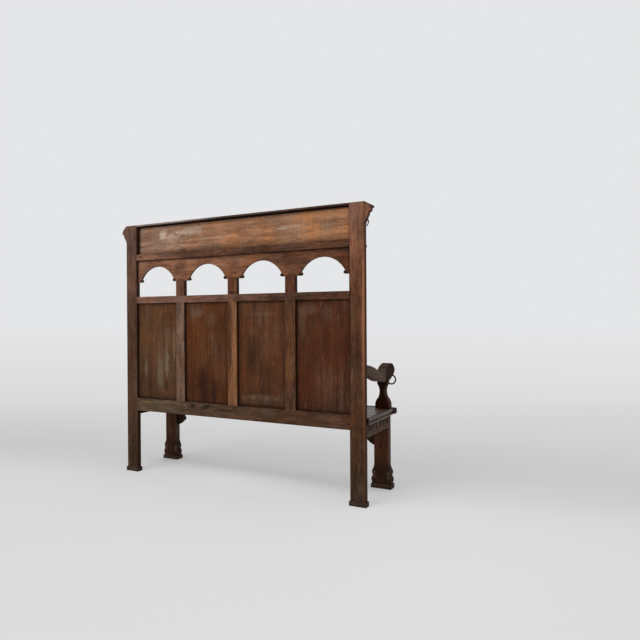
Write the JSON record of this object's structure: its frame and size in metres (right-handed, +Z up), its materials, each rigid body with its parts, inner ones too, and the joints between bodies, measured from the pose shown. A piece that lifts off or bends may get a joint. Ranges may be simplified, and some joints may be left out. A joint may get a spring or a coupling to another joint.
{
  "type": "bench",
  "caption": "High back bench with a panelled back under an open arcade, moulded cornice, plank seat, scrolled arms and hanging iron rings.",
  "frame": {"origin": "on the floor, under the middle of the bench", "axes": "+Z up, -Y towards the front of the seat, +X to the right of someone who looks at the front"},
  "size_m": [1.782, 0.5394, 1.62],
  "materials": {
    "oak_frame": "dark stained oak, waxed and worn",
    "oak_panels": "dark stained oak, dull on the back",
    "oak_seat": "dark oak, polished by use",
    "iron": "blackened"
  },
  "bodies": {
    "root": {"rear_post_left": "oak_frame", "rear_foot_left": "oak_frame", "post_bead_left": "oak_frame", "console_left": "oak_frame", "seat_edge_left": "oak_seat", "front_leg_left": "oak_frame", "front_foot_left": "oak_frame", "side_apron_left": "oak_frame", "apron_bracket_left": "oak_frame", "arm_support_left": "oak_frame", "arm_left": "oak_frame", "arm_staple_left": "iron", "cornice_staple_left": "iron", "side_apron_moulding_left": "oak_frame", "rear_post_right": "oak_frame", "rear_foot_right": "oak_frame", "post_bead_right": "oak_frame", "console_right": "oak_frame", "seat_edge_right": "oak_seat", "front_leg_right": "oak_frame", "front_foot_right": "oak_frame", "side_apron_right": "oak_frame", "apron_bracket_right": "oak_frame", "arm_support_right": "oak_frame", "arm_right": "oak_frame", "arm_staple_right": "iron", "cornice_staple_right": "iron", "side_apron_moulding_right": "oak_frame", "bottom_rail": "oak_frame", "mid_rail": "oak_frame", "upper_rail": "oak_frame", "muntin_left": "oak_frame", "muntin_middle": "oak_frame", "muntin_right": "oak_frame", "arcade_column_left": "oak_frame", "arcade_column_middle": "oak_frame", "arcade_column_right": "oak_frame", "back_panel_1": "oak_panels", "back_panel_2": "oak_panels", "back_panel_3": "oak_panels", "back_panel_4": "oak_panels", "arcade_board": "oak_frame", "frieze_panel": "oak_frame", "top_board": "oak_frame", "cornice_moulding": "oak_frame", "seat_board_rear": "oak_seat", "seat_board_front": "oak_seat", "seat_nosing": "oak_seat", "seat_bearer": "oak_seat", "seat_crossbearers": "oak_seat", "front_apron": "oak_frame", "front_apron_moulding": "oak_frame", "frame_pegs": "oak_frame"},
    "arm_ring_left": {"arm_ring_left": "iron"},
    "cornice_ring_left": {"cornice_ring_left": "iron"},
    "arm_ring_right": {"arm_ring_right": "iron"},
    "cornice_ring_right": {"cornice_ring_right": "iron"}
  },
  "joints": [
    {"name": "arm_ring_left_swing", "type": "hinge", "parent": "root", "child": "arm_ring_left", "pos_m": [-0.809, -0.26125, 0.653], "axis": [-1, 0, 0], "range_deg": [-35, 110]},
    {"name": "cornice_ring_left_swing", "type": "hinge", "parent": "root", "child": "cornice_ring_left", "pos_m": [-0.809, 0.15325, 1.553], "axis": [-1, 0, 0], "range_deg": [-15, 100]},
    {"name": "arm_ring_right_swing", "type": "hinge", "parent": "root", "child": "arm_ring_right", "pos_m": [0.809, -0.26125, 0.653], "axis": [-1, 0, 0], "range_deg": [-35, 110]},
    {"name": "cornice_ring_right_swing", "type": "hinge", "parent": "root", "child": "cornice_ring_right", "pos_m": [0.809, 0.15325, 1.553], "axis": [-1, 0, 0], "range_deg": [-15, 100]}
  ]
}
